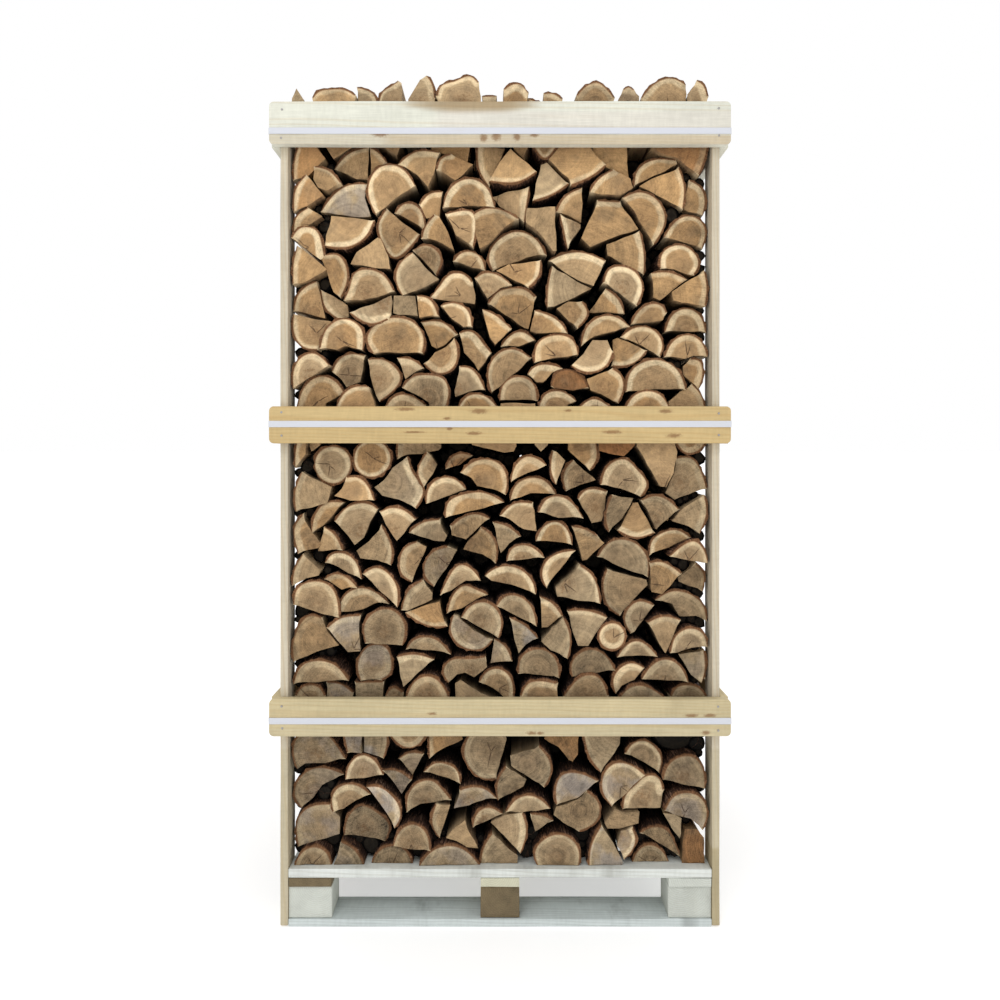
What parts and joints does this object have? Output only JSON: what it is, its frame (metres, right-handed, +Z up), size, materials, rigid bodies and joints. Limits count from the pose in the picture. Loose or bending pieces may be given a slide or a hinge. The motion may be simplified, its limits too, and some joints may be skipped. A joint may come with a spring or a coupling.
{
  "type": "crate of firewood",
  "caption": "Slatted wooden crate on a block pallet, filled to the top with stacked split oak logs, with flat straps around its rails.",
  "frame": {"origin": "bottom centre of the pallet, on the floor", "axes": "+Z up, +Y from the front, where the log ends show, to the rear, +X to the right seen from the front"},
  "size_m": [1.1586, 1.1252, 2.17],
  "materials": {
    "oak": "split and sawn, dry, with bark",
    "pallet_pine": "rough sawn, weathered",
    "deck_pine": "rough sawn",
    "post_pine": "rough sawn",
    "top_rail_pine": "rough sawn, pale",
    "middle_rail_pine": "rough sawn, honey yellow",
    "lower_rail_pine": "rough sawn, beige",
    "strap": "smooth white strapping tape"
  },
  "bodies": {
    "root": {"firewood_row_front": "oak", "firewood_row_middle": "oak", "firewood_row_rear": "oak", "pallet_block_front_left": "pallet_pine", "pallet_block_front_middle": "pallet_pine", "pallet_block_front_right": "pallet_pine", "pallet_block_middle_left": "pallet_pine", "pallet_block_middle_middle": "pallet_pine", "pallet_block_middle_right": "pallet_pine", "pallet_block_rear_left": "pallet_pine", "pallet_block_rear_middle": "pallet_pine", "pallet_block_rear_right": "pallet_pine", "pallet_bottom_board_front": "pallet_pine", "pallet_bottom_board_middle": "pallet_pine", "pallet_bottom_board_rear": "pallet_pine", "pallet_deck_board_1": "deck_pine", "pallet_deck_board_2": "deck_pine", "pallet_deck_board_3": "deck_pine", "pallet_deck_board_4": "deck_pine", "pallet_deck_board_5": "deck_pine", "pallet_deck_board_6": "deck_pine", "pallet_deck_board_7": "deck_pine", "pallet_stringer_left": "pallet_pine", "pallet_stringer_middle": "pallet_pine", "pallet_stringer_right": "pallet_pine", "post_front_left": "post_pine", "post_front_right": "post_pine", "post_middle_left": "post_pine", "post_middle_right": "post_pine", "post_rear_left": "post_pine", "post_rear_right": "post_pine", "rail_lower_front": "lower_rail_pine", "rail_lower_left": "lower_rail_pine", "rail_lower_rear": "lower_rail_pine", "rail_lower_right": "lower_rail_pine", "rail_middle_front": "middle_rail_pine", "rail_middle_left": "middle_rail_pine", "rail_middle_rear": "middle_rail_pine", "rail_middle_right": "middle_rail_pine", "rail_top_front": "top_rail_pine", "rail_top_left": "top_rail_pine", "rail_top_rear": "top_rail_pine", "rail_top_right": "top_rail_pine", "strap_lower": "strap", "strap_middle": "strap", "strap_top": "strap", "top_log_01": "oak", "top_log_02": "oak", "top_log_03": "oak", "top_log_04": "oak", "top_log_05": "oak", "top_log_06": "oak", "top_log_07": "oak", "top_log_08": "oak", "top_log_09": "oak", "top_log_10": "oak", "top_log_11": "oak", "top_log_12": "oak", "top_log_13": "oak", "top_log_14": "oak"}
  },
  "joints": []
}
